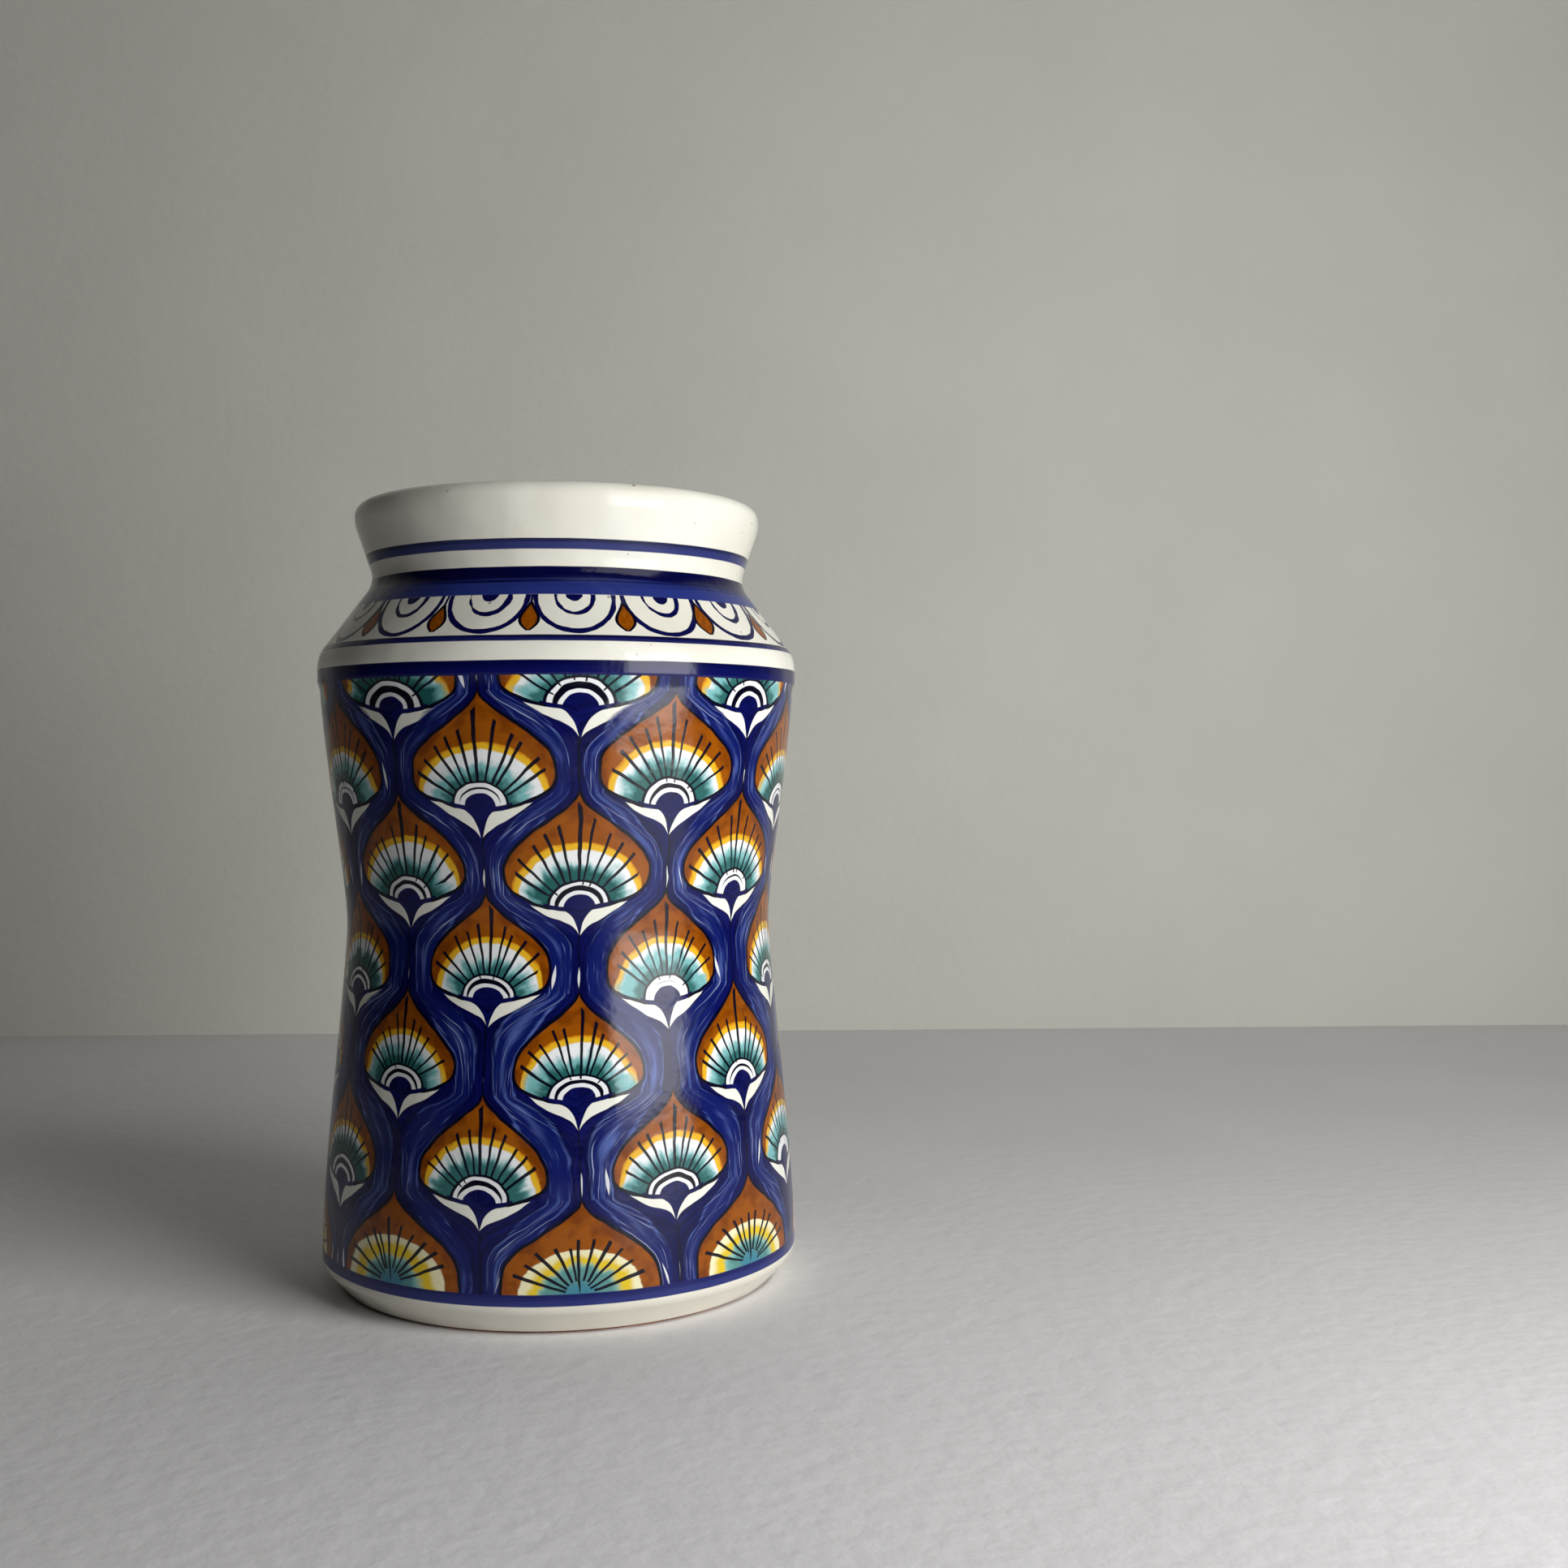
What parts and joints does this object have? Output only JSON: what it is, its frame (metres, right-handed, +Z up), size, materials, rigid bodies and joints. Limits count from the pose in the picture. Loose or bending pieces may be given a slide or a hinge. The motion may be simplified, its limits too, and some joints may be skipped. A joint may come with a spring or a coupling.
{
  "type": "ceramic albarello vase",
  "caption": "Waisted cylindrical jar-shaped vase with a sloped shoulder, short neck and flared round lip; holds flowers or stands as an ornament.",
  "frame": {"origin": "middle of the foot ring's resting face, on the surface that the vase stands on", "axes": "+Z up along the axis of the vase; it is a form of revolution, so X and Y are free"},
  "size_m": [0.1546, 0.1546, 0.25],
  "materials": {
    "earthenware": "bare, matt, fired clay",
    "white_glaze": "glossy opaque white tin glaze, painted in blue, orange-brown, yellow and green",
    "lining_glaze": "glossy opaque white glaze, unpainted"
  },
  "bodies": {
    "root": {"clay_body": "earthenware", "outer_glaze": "white_glaze", "inner_glaze": "lining_glaze"}
  },
  "joints": []
}
